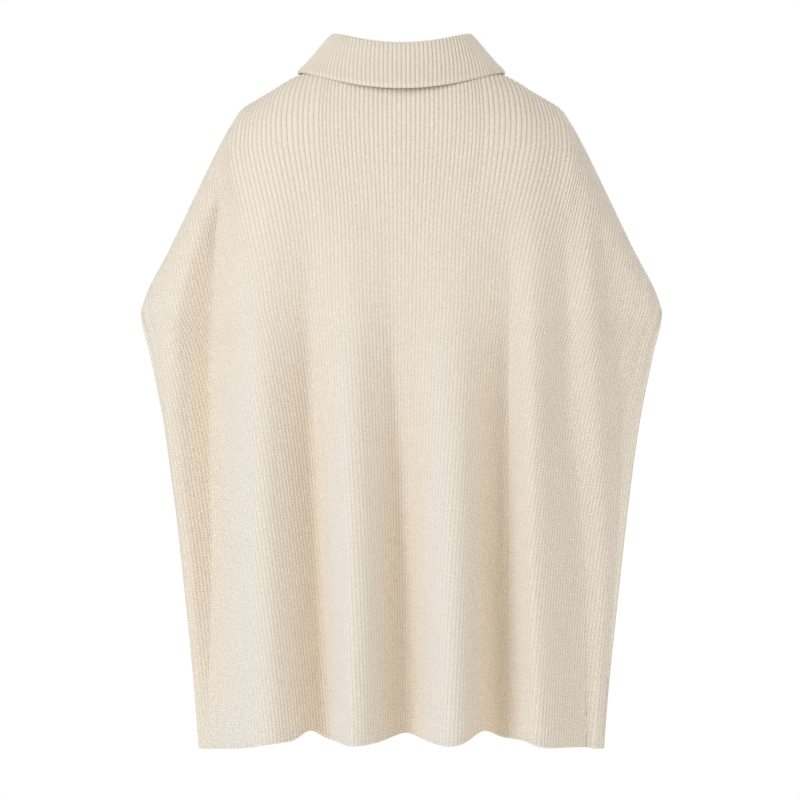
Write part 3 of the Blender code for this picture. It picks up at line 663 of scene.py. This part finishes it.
def add_half_sheet(shell, side, sign, runs):
    """Half a panel with its rims: hem, seam, side edge, and on the front the slit."""
    sides = shell.add_sides(*half_sheet(side, sign, runs))
    shell.close(sides, np.s_[-1], np.s_[-2])
    shell.close(sides, np.s_[0], np.s_[1], SEAM_ROUND)
    shell.close(sides, np.s_[:, -1], np.s_[:, -1 - RIB_STEPS])
    if side == "front":
        rows = PANEL_ROWS // 2 + 3  # down to where the knit is whole again
        inner_edge = np.s_[: rows // 2 + 1, 0]
        shell.close(sides, np.s_[:rows, 0], np.s_[:rows, RIB_STEPS], inner_edge=inner_edge)


def panel_runs(side):
    """Rows of a panel; the front's slit ends between two of them."""
    if side == "back":
        return np.linspace(0.0, 1.0, PANEL_ROWS + 1)
    upper = np.linspace(0.0, ZIP_END_RUN, PANEL_ROWS // 2 + 1)
    lower = np.linspace(SLIT_END_RUN, 1.0, PANEL_ROWS // 2 - 1)
    return np.concatenate((upper, [(ZIP_END_RUN + SLIT_END_RUN) / 2.0], lower))


def make_panel(name, side, material):
    shell = Shell()
    for sign in (1.0, -1.0):
        add_half_sheet(shell, side, sign, panel_runs(side))
    return shell.make(name, material)


# ------------ collar


def neck_frame(angle):
    """Neck seam points, the panels' normals there and the way out of the neck."""
    back = np.cos(angle) >= 0.0
    x = NECK_HALF * np.sin(angle)
    frames = {}
    for side in SIDE:
        y = NECK_DEPTH[side] * np.abs(np.cos(angle))
        depth, _, rise = form_columns(side, x)
        z = line_height(x) - neck_drop(side, x, y)
        climb = line_height(np.abs(x) + SLOPE_STEP) - line_height(np.abs(x) - SLOPE_STEP)
        slope = climb / (2.0 * SLOPE_STEP)
        lean = rise * y / (depth**2 * np.sqrt(1.0 - (y / depth) ** 2))
        point = np.stack([x, SIDE[side] * y, z], axis=-1)
        normal = np.stack([-slope * np.sign(x), SIDE[side] * lean, np.ones_like(x)], axis=-1)
        frames[side] = (point, unit(normal))
    pairs = zip(frames["back"], frames["front"])
    point, normal = (np.where(back[..., None], *pair) for pair in pairs)
    depth = np.where(back, NECK_DEPTH["back"], NECK_DEPTH["front"])
    tangent = [NECK_HALF * np.cos(angle), -depth * np.sin(angle), np.zeros_like(angle)]
    away = unit(np.cross(np.stack(tangent, axis=-1), normal))
    outward = np.sum(away * point * (1.0, 1.0, 0.0), axis=-1, keepdims=True)
    return point, normal, away * np.where(outward < 0.0, -1.0, 1.0)


def collar_angles(place, half, opening):
    """Angles round the neck, from the back, for places -1 to 1 along the collar."""
    return place * (math.pi - math.asin(opening / half))


def ring_points(ring, place):
    half, back, front, z_side, z_back, z_front, opening = ring
    angle = collar_angles(place, half, opening)
    turn = np.cos(angle)
    y = np.where(turn > 0.0, back, front) * turn
    z = z_side + (np.where(turn > 0.0, z_back, z_front) - z_side) * turn**2
    return np.stack([half * np.sin(angle), y, z], axis=-1)


def collar_points(place):
    """The collar's middle surface: two rows on the neck seam and one for each ring."""
    point, normal, away = neck_frame(collar_angles(place, NECK_HALF, SLIT_HALF))
    seat = WALL / 2.0 + RIB_RISE + GAP
    rows = [point + normal * lift + away * WALL / 2.0 for lift in (seat, seat + COLLAR_FOOT)]
    return np.array(rows + [ring_points(ring, place) for ring in COLLAR_RINGS])


def smooth_rows(rows, count):
    """More rows, evenly spaced on a smooth curve through each column of points."""
    place = running(np.linalg.norm(np.diff(rows, axis=0), axis=-1).mean(axis=1))
    chord = np.diff(rows, axis=0) / np.diff(place)[:, None, None]
    before, after = chord[:-1], chord[1:]
    least = np.minimum(np.abs(before), np.abs(after))
    steady = np.clip((before + after) / 2.0, -2.0 * least, 2.0 * least)
    slope = np.concatenate((chord[:1], np.where(before * after > 0.0, steady, 0.0), chord[-1:]))
    at = np.linspace(0.0, place[-1], count)
    i = np.clip(np.searchsorted(place, at) - 1, 0, len(place) - 2)
    width = (place[i + 1] - place[i])[:, None, None]
    s = (at - place[i])[:, None, None] / width
    return eased(s, width, rows[i], rows[i + 1], slope[i], slope[i + 1]), at


def collar_surface(place, rows):
    """The collar's fine middle surface, its normals, and the length from its foot.

    At the turned edge the ribs hang straight at the back and fan out to the front.
    """
    even = collar_points(place)
    wide = collar_points(place * (FAN_CENTRE + (1.0 - FAN_CENTRE) * place**2))
    turned = smoothstep((np.arange(len(even)) - FAN_START) / (len(even) - 1 - FAN_START))
    coarse = even + (wide - even) * turned[:, None, None]
    middle, length = smooth_rows(coarse, rows)
    normal = np.cross(np.gradient(middle, axis=1), np.gradient(middle, axis=0))
    return middle, unit(normal), length


def make_collar(material):
    place = np.linspace(-1.0, 1.0, 2 * COLLAR_RIBS * RIB_STEPS + 1)
    middle, normal, length = collar_surface(place, COLLAR_ROWS + 1)
    ribs = place * COLLAR_RIBS
    to_edge = (length[-1] - length)[:, None]
    roll = COLLAR_ROLL * np.exp(-(((to_edge - COLLAR_ROLL_WIDTH) / COLLAR_ROLL_WIDTH) ** 2))
    fade = smoothstep((to_edge - COLLAR_ROLL_WIDTH) / (2.0 * COLLAR_ROLL_WIDTH))
    height = COLLAR_EDGE_RISE + (1.0 - COLLAR_EDGE_RISE) * fade
    rise = RIB_RISE * rib_profile(ribs)[None] * height + roll
    outer = middle + normal * (WALL / 2.0 + rise)[..., None]
    inner = (middle - normal * (WALL / 2.0 + roll)[..., None])[::2, ::2]
    stitches = np.stack(np.broadcast_arrays(ribs[None], length[:, None] / STITCH), axis=-1)
    shell = Shell()
    sides = shell.add_sides(outer, inner, stitches)
    shell.close(sides, np.s_[0], np.s_[1], FOOT_ROUND)
    shell.close(sides, np.s_[-1], np.s_[-2])
    shell.close(sides, np.s_[:, 0], np.s_[:, RIB_STEPS])
    shell.close(sides, np.s_[:, -1], np.s_[:, -1 - RIB_STEPS])
    return shell.make("collar_knit", material)


# ------------ zip


def panel_tape_edges(sign):
    """The tape's two edges behind the front panel, from its lower end to the neck."""
    runs = np.linspace(SLIT_END_RUN, 0.0, TAPE_PANEL_ROWS)
    edges = []
    for reach in (TAPE_INNER, TAPE_OUTER):
        share = np.full_like(runs, sign * reach / TIP_X)
        normal = sheet_normals("front", share, runs)
        point = sheet_points("front", share, runs)
        point = point - normal * (WALL / 2.0 + TAPE_CLEAR + TAPE_THICK / 2.0)
        point[:, 0] = sign * reach
        edges.append((point, normal))
    return edges


def coarse_normals(place):
    """Unit normals of the collar's side that shows, for each of its coarse rows."""
    across = collar_points(place + NORMAL_STEP) - collar_points(place - NORMAL_STEP)
    along = np.gradient(collar_points(place), axis=0)
    return unit(np.cross(across, along))


def collar_tape_edges(sign):
    """The tape's two edges along the collar's front, on the side that shows."""
    inset = WALL / 2.0 + RIB_RISE + TAPE_CLEAR + TAPE_THICK / 2.0
    end = np.array([sign])
    past = unit((collar_points(end) - collar_points(end * COLLAR_END))[:, 0])
    edges = []
    for place, reach in ((end, SLIT_HALF - TAPE_INNER), (end * TAPE_ON_COLLAR, 0.0)):
        normal = coarse_normals(place)[:, 0]
        point = collar_points(place)[:, 0] + past * reach + normal * inset
        edges.append((point, -normal))
    return edges


def tape_edges(sign):
    """Near and far edge points with their normals, from the lower end to the collar."""
    edges = []
    pairs = zip(panel_tape_edges(sign), collar_tape_edges(sign))
    for (low, low_facing), (high, high_facing) in pairs:
        rise = np.dot(high[0] - low[-1], low_facing[-1])
        corner = high[0] - low_facing[-1] * rise
        facing = unit(low_facing[-1] + high_facing[0])
        points = np.concatenate((low, [corner], high))
        facings = np.concatenate((low_facing, [facing], high_facing))
        edges.append((points, facings))
    (near, near_facing), (far, far_facing) = edges
    rows = np.stack([near, far, near + near_facing, far + far_facing], axis=1)
    fine, _ = smooth_rows(rows, TAPE_ROWS + 1)
    near, far, near_tip, far_tip = np.moveaxis(fine, 1, 0)
    length = running(np.linalg.norm(np.diff(near, axis=0), axis=-1))
    return near, far, unit(near_tip - near), unit(far_tip - far), length


def make_tape(name, sign, material):
    near, far, near_facing, far_facing, length = tape_edges(sign)
    across = np.linspace(0.0, 1.0, TAPE_COLUMNS + 1)[None, :, None]
    middle = near[:, None] + (far - near)[:, None] * across
    facing = unit(near_facing[:, None] + (far_facing - near_facing)[:, None] * across)
    wide = (across[..., 0] - TAPE_CORD / 2.0) / TAPE_CORD
    cord = TAPE_CORD_RISE * np.exp(-(wide**2))
    half = TAPE_THICK / 2.0
    outer = middle + facing * (half + cord)[..., None]
    inner = (middle - facing * half)[::2, ::2]
    threads = across[..., 0] * TAPE_COLUMNS
    stitches = np.stack(np.broadcast_arrays(threads, length[:, None] / TAPE_WEAVE), axis=-1)
    shell = Shell()
    sides = shell.add_sides(outer, inner, stitches)
    for line, beside in ((0, 1), (-1, -2)):
        shell.close(sides, np.s_[line], np.s_[beside])
        shell.close(sides, np.s_[:, line], np.s_[:, beside])
    return shell.make(name, material)


def block_mesh(size, bevel):
    """Points and faces of a small block with rounded edges, centred on the origin."""
    bm = bmesh.new()
    cube = bmesh.ops.create_cube(bm, size=1.0)["verts"]
    for vert in cube:
        vert.co = [c * s for c, s in zip(vert.co, size)]
    bmesh.ops.bevel(bm, geom=list(bm.edges), offset=bevel, segments=2, affect="EDGES", profile=0.5)
    points = np.array([vert.co for vert in bm.verts])
    faces = [[vert.index for vert in face.verts] for face in bm.faces]
    bm.free()
    return points, faces


def stitch_mesh(length, radius):
    """Points and faces of one laid stitch: a spindle along its own X."""
    points = []
    for k in range(STITCH_RINGS + 1):
        turn = math.pi * k / STITCH_RINGS
        girth = radius * max(math.sin(turn), THREAD_END) ** THREAD_FULL
        for j in range(STITCH_SIDES):
            angle = 2.0 * math.pi * j / STITCH_SIDES
            x = -length / 2.0 * math.cos(turn)
            points.append((x, girth * math.cos(angle), girth * math.sin(angle)))
    rings = np.arange(len(points)).reshape(-1, STITCH_SIDES)
    faces = [rings[0].tolist(), rings[-1].tolist()]
    for low, high in zip(rings, rings[1:]):
        corners = (low, np.roll(low, -1), np.roll(high, -1), high)
        faces.extend(np.stack(corners, axis=-1).tolist())
    return np.array(points), faces


def scatter(name, template, places, axes, material):
    """One joined mesh with a copy of a template at each place, turned to its axes."""
    points, faces = template
    moved = places[:, None] + np.einsum("pk,nkc->npc", points, axes)
    mesh = bpy.data.meshes.new(name)
    every = [[i + n * len(points) for i in face] for n in range(len(places)) for face in faces]
    mesh.from_pydata(moved.reshape(-1, 3).tolist(), [], every)
    mesh.shade_smooth()
    mesh.set_sharp_from_angle(angle=math.radians(SHARP_ANGLE))
    return finish_piece(name, mesh, material)


def resampled(length, values, at):
    """Points or directions along a line, at other lengths from its start."""
    return np.stack([np.interp(at, length, part) for part in values.T], axis=-1)


def make_teeth(name, sign, material):
    """The zip's teeth on one tape: meshed below the slider, standing free above it."""
    near, far, facing, _, length = tape_edges(sign)
    at = np.arange(TOOTH_OFFSET[sign] * TOOTH_PITCH, length[-1] - TOOTH_PITCH / 2.0, TOOTH_PITCH)
    place = resampled(length, near, at)
    out = unit(resampled(length, facing, at))
    inwards = unit(resampled(length, near - far, at))
    inwards = unit(inwards - out * np.sum(inwards * out, axis=-1, keepdims=True))
    along = unit(np.cross(out, inwards))
    axes = np.stack([inwards, along, out], axis=1)
    place = place + inwards * TOOTH_REACH + out * (TAPE_THICK / 2.0 + TAPE_CORD_RISE / 2.0)
    slider = sum(corner.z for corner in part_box("zip_slider")) / 2.0
    stop_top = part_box("zip_bottom_stop")[1].z
    above_stop = place[:, 2] > stop_top + TOOTH_SIZE[1]
    clear = above_stop & (np.abs(place[:, 2] - slider) > TOOTH_CLEAR)
    tooth = block_mesh(TOOTH_SIZE, TOOTH_BEVEL)
    return scatter(name, tooth, place[clear], axes[clear], material)


def make_topstitch(name, sign, material):
    """The row of stitches that holds one tape, sunk in the furrow beside the slit."""
    runs = np.linspace(THREAD_START, ZIP_END_RUN, LINE_SAMPLES)
    share = np.full_like(runs, sign / RIBS)
    normal = sheet_normals("front", share, runs)
    line = sheet_points("front", share, runs) + normal * (WALL / 2.0 + THREAD / 2.0)
    near = 1.0 - np.abs(share) / SLIT_REACH
    line[:, 0] += sign * SLIT_HALF * near
    length = running(np.linalg.norm(np.diff(line, axis=0), axis=-1))
    at = np.arange(THREAD_PITCH / 2.0, length[-1], THREAD_PITCH)
    place = resampled(length, line, at)
    out = unit(resampled(length, normal, at))
    along = unit(resampled(length, np.gradient(line, axis=0), at))
    axes = np.stack([along, np.cross(out, along), out], axis=1)
    return scatter(name, stitch_mesh(THREAD_STITCH, THREAD), place, axes, material)


# ------------ materials


class Nodes:
    """A material's node tree, with short calls for the nodes that these need."""

    def __init__(self, name):
        self.material = bpy.data.materials.new(name)
        self.material.use_nodes = True
        self.tree = self.material.node_tree
        self.shader = self.tree.nodes["Principled BSDF"]

    def node(self, kind, **settings):
        node = self.tree.nodes.new(kind)
        for key, value in settings.items():
            setattr(node, key, value)
        return node

    def feed(self, socket, value):
        """Sets a socket to a number or a colour, or links another node's output to it."""
        if isinstance(value, tuple):
            socket.default_value = (*value, 1.0)
        elif isinstance(value, (int, float)):
            socket.default_value = value
        else:
            self.tree.links.new(value, socket)

    def split(self, place):
        """The three parts of a place."""
        node = self.node("ShaderNodeSeparateXYZ")
        self.feed(node.inputs[0], place)
        return node.outputs

    def math(self, operation, a, b=0.0, clamp=False):
        node = self.node("ShaderNodeMath", operation=operation, use_clamp=clamp)
        self.feed(node.inputs[0], a)
        self.feed(node.inputs[1], b)
        return node.outputs[0]

    def noise(self, scale, detail=2.0, stretch=None):
        place = self.node("ShaderNodeTexCoord").outputs["Object"]
        if stretch:
            mapping = self.node("ShaderNodeMapping")
            mapping.inputs["Scale"].default_value = stretch
            self.feed(mapping.inputs["Vector"], place)
            place = mapping.outputs[0]
        node = self.node("ShaderNodeTexNoise")
        node.inputs["Scale"].default_value = scale
        node.inputs["Detail"].default_value = detail
        self.feed(node.inputs["Vector"], place)
        return node.outputs["Fac"]

    def contrast(self, value, gain):
        """The value drawn apart about its middle, and kept from 0 to 1."""
        away = self.math("MULTIPLY", self.math("SUBTRACT", value, 0.5), gain)
        return self.math("ADD", away, 0.5, clamp=True)

    def scaled(self, colour, share):
        """A colour times a number, darker below 1 and paler above it."""
        node = self.node("ShaderNodeVectorMath", operation="SCALE")
        self.feed(node.inputs[0], colour)
        self.feed(node.inputs["Scale"], share)
        return node.outputs[0]

    def mix(self, factor, a, b):
        node = self.node("ShaderNodeMix", data_type="RGBA")
        for index, value in ((0, factor), (6, a), (7, b)):
            self.feed(node.inputs[index], value)
        return node.outputs[2]

    def bump(self, height, distance, strength=1.0):
        node = self.node("ShaderNodeBump")
        node.inputs["Distance"].default_value = distance
        node.inputs["Strength"].default_value = strength
        self.feed(node.inputs["Height"], height)
        self.set(Normal=node.outputs[0])

    def set(self, **values):
        """Feeds the shader's sockets, with an underscore for each space in a name."""
        for key, value in values.items():
            self.feed(self.shader.inputs[key.replace("_", " ")], value)


def furrow_shade_strength(m):
    """How strong the painted shade in the furrows is: full on the shoulders, where the knit is
    stretched, and less below.
    """
    z = m.split(m.node("ShaderNodeTexCoord").outputs["Object"])[2]
    low, high = FURROW_OPEN
    rise = m.math("DIVIDE", m.math("SUBTRACT", z, low), high - low, clamp=True)
    return m.math("ADD", m.math("MULTIPLY", rise, FURROW_SHADE_MOST - FURROW_SHADE_LEAST), FURROW_SHADE_LEAST)


def slanting(m, slant):
    """How far a place is from the middle of its rib, and a wave that slants away from it."""
    across, along, _ = m.split(m.node("ShaderNodeUVMap", uv_map="stitches").outputs[0])
    side = m.math("ABSOLUTE", m.math("SUBTRACT", m.math("FRACT", across), 0.5))
    along = m.math("ADD", along, m.math("MULTIPLY", side, slant))
    return side, m.math("SINE", m.math("MULTIPLY", along, 2.0 * math.pi))


def knit_material():
    """Rib knit: slanting stitch legs on each rib, painted shade in the furrows and warm painted
    shade in the folds' troughs, fine wool fuzz.
    """
    m = Nodes("rib_knit")
    from_crest, leg = slanting(m, STITCH_SLANT)
    crest = m.math("SUBTRACT", 1.0, m.math("MULTIPLY", from_crest, 2.0))
    line = m.math("POWER", m.math("ABSOLUTE", m.math("SUBTRACT", crest, LEG_LINE)), 0.5)
    grain = m.contrast(m.noise(GRAIN, 1.0), GRAIN_GAIN)
    relief = (leg, line, m.noise(FUZZ, 3.0), m.noise(SLUB, 3.0), grain)
    height = 0.0
    for part, rise in zip(relief, KNIT_RISES):
        height = m.math("ADD", height, m.math("MULTIPLY", part, rise))
    m.bump(height, KNIT_BUMP)
    # painted shade: a dark line down each furrow between ribs, stronger on the shoulders
    furrow_shade = m.math("POWER", m.math("MULTIPLY", from_crest, 2.0), FURROW_SHADE_POWER)
    furrow_shade = m.math("MULTIPLY", furrow_shade, furrow_shade_strength(m))
    gap = m.math("MULTIPLY", m.math("SUBTRACT", 1.0, leg), LEG_SHADE)
    shade = m.math("ADD", furrow_shade, gap, clamp=True)
    colour = m.mix(m.noise(CLOUD, 4.0), KNIT_WARM, KNIT_PALE)
    # painted warm shade in the folds' troughs, lying more on the side turned from the key light
    trough_shade = m.node("ShaderNodeAttribute", attribute_name="trough_shade").outputs["Fac"]
    colour = m.mix(trough_shade, colour, KNIT_TROUGH_SHADE)
    # paints the shade of the furrows and of the gaps between stitch legs into the colour
    colour = m.mix(shade, colour, KNIT_FURROW_SHADE)
    change = m.math("ADD", m.math("MULTIPLY", trough_shade, GRAIN_TROUGH_SHADE), GRAIN_SHARE)
    specks = m.math("ADD", m.math("MULTIPLY", m.math("SUBTRACT", grain, 0.5), change), 1.0)
    m.set(Base_Color=m.scaled(colour, specks), Roughness=0.92, Specular_IOR_Level=0.2)
    m.set(Sheen_Weight=0.25, Sheen_Roughness=0.55, Sheen_Tint=KNIT_SHEEN)
    return m.material


def tape_material():
    """Woven zip tape: a fine herringbone over its width."""
    m = Nodes("zip_tape_weave")
    m.bump(slanting(m, WEAVE_SLANT)[1], FINE_BUMP, strength=0.8)
    m.set(Base_Color=m.mix(m.noise(TAPE_CLOUD, 3.0), TAPE_WARM, TAPE_PALE))
    m.set(Roughness=0.8, Sheen_Weight=0.1)
    return m.material


def thread_material():
    """Twisted sewing thread."""
    m = Nodes("sewing_thread")
    twist = m.noise(THREAD_TWIST, stretch=(1.0, 1.0, 3.0))
    m.bump(twist, FINE_BUMP, strength=0.7)
    m.set(Base_Color=m.mix(twist, TAPE_WARM, THREAD_PALE), Roughness=0.65, Sheen_Weight=0.1)
    return m.material


def metal_material(name, colour, roughness):
    """Satin metal with faint brushing and small cloudy wear."""
    m = Nodes(name)
    brushed = m.noise(BRUSHING, stretch=(6.0, 1.0, 1.0))
    wear = m.noise(WEAR, 4.0)
    dull = m.math("ADD", roughness, m.math("MULTIPLY", wear, METAL_DULL))
    m.set(Base_Color=m.mix(wear, colour, tuple(METAL_DARK * c for c in colour)))
    m.set(Roughness=dull, Metallic=1.0)
    m.bump(brushed, METAL_BUMP, strength=0.5)
    return m.material


def floor_material():
    """A plain pale floor with faint clouds."""
    m = Nodes("studio_floor")
    m.set(Base_Color=m.mix(m.noise(FLOOR_CLOUD), FLOOR_GREY, FLOOR_PALE), Roughness=0.85)
    return m.material


# ------------ studio


def add_area_light(name, place, target, power):
    data = bpy.data.lights.new(name, "AREA")
    data.size = LIGHT_SIZE
    data.energy = power
    light = add_object(name, data, place)
    direction = Vector(target) - light.location
    light.rotation_euler = direction.to_track_quat("-Z", "Y").to_euler()


def make_world():
    """A white backdrop, dimmer as a light than it looks."""
    world = bpy.data.worlds.new("studio")
    bpy.context.scene.world = world
    world.use_nodes = True
    tree = world.node_tree
    tree.nodes.clear()
    output = tree.nodes.new("ShaderNodeOutputWorld")
    mix = tree.nodes.new("ShaderNodeMixShader")
    path = tree.nodes.new("ShaderNodeLightPath")
    tree.links.new(path.outputs["Is Camera Ray"], mix.inputs[0])
    for socket, strength, tint in ((1, WORLD_LIGHT, WORLD_TINT), (2, 1.0, WHITE)):
        background = tree.nodes.new("ShaderNodeBackground")
        background.inputs["Color"].default_value = (*tint, 1.0)
        background.inputs["Strength"].default_value = strength
        tree.links.new(background.outputs[0], mix.inputs[socket])
    tree.links.new(mix.outputs[0], output.inputs[0])


def make_floor():
    mesh = bpy.data.meshes.new("floor")
    s = FLOOR_HALF
    corners = [(-s, -s, FLOOR_Z), (s, -s, FLOOR_Z), (s, s, FLOOR_Z), (-s, s, FLOOR_Z)]
    mesh.from_pydata(corners, [], [(0, 1, 2, 3)])
    mesh.materials.append(floor_material())
    add_object("floor", mesh)


def make_camera():
    data = bpy.data.cameras.new("camera")
    data.lens = CAMERA_LENS
    camera = add_object("camera", data, CAMERA_PLACE)
    camera.rotation_euler = (math.radians(90.0), 0.0, math.radians(180.0))
    bpy.context.scene.camera = camera


# ------------ assembly


def dress(piece, slot, *nodes):
    """Declares a piece's body and the nodes that it replaces; its slot is not used."""
    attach(piece, "garment")
    if nodes:
        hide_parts(*nodes)
    return piece


KNIT = knit_material()
TAPE = tape_material()
THREAD_FINISH = thread_material()
SLIDER_METAL = metal_material("satin_metal", SLIDER_COLOUR, roughness=0.24)
TOOTH_METAL = metal_material("tooth_metal", TOOTH_COLOUR, roughness=0.2)

back = dress(make_panel("back_knit", "back", KNIT), "knit", "back_panel")
front = dress(make_panel("front_knit", "front", KNIT), "knit", "front_panel")
collar = dress(make_collar(KNIT), "knit", "collar")

for name, sign in (("left", 1.0), ("right", -1.0)):
    tape = make_tape(f"zip_tape_{name}_woven", sign, TAPE)
    dress(tape, "tape", f"zip_tape_{name}")
    dress(make_teeth(f"zip_teeth_{name}", sign, TOOTH_METAL), "metal")
    dress(make_topstitch(f"zip_stitches_{name}", sign, THREAD_FINISH), "knit")

for node in ("zip_slider", "zip_pull", "zip_bottom_stop"):
    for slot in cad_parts[node].material_slots:
        slot.material = SLIDER_METAL

make_camera()
bpy.context.scene.view_settings.view_transform = "Standard"
make_world()
make_floor()
for light in LIGHTS:
    add_area_light(*light)
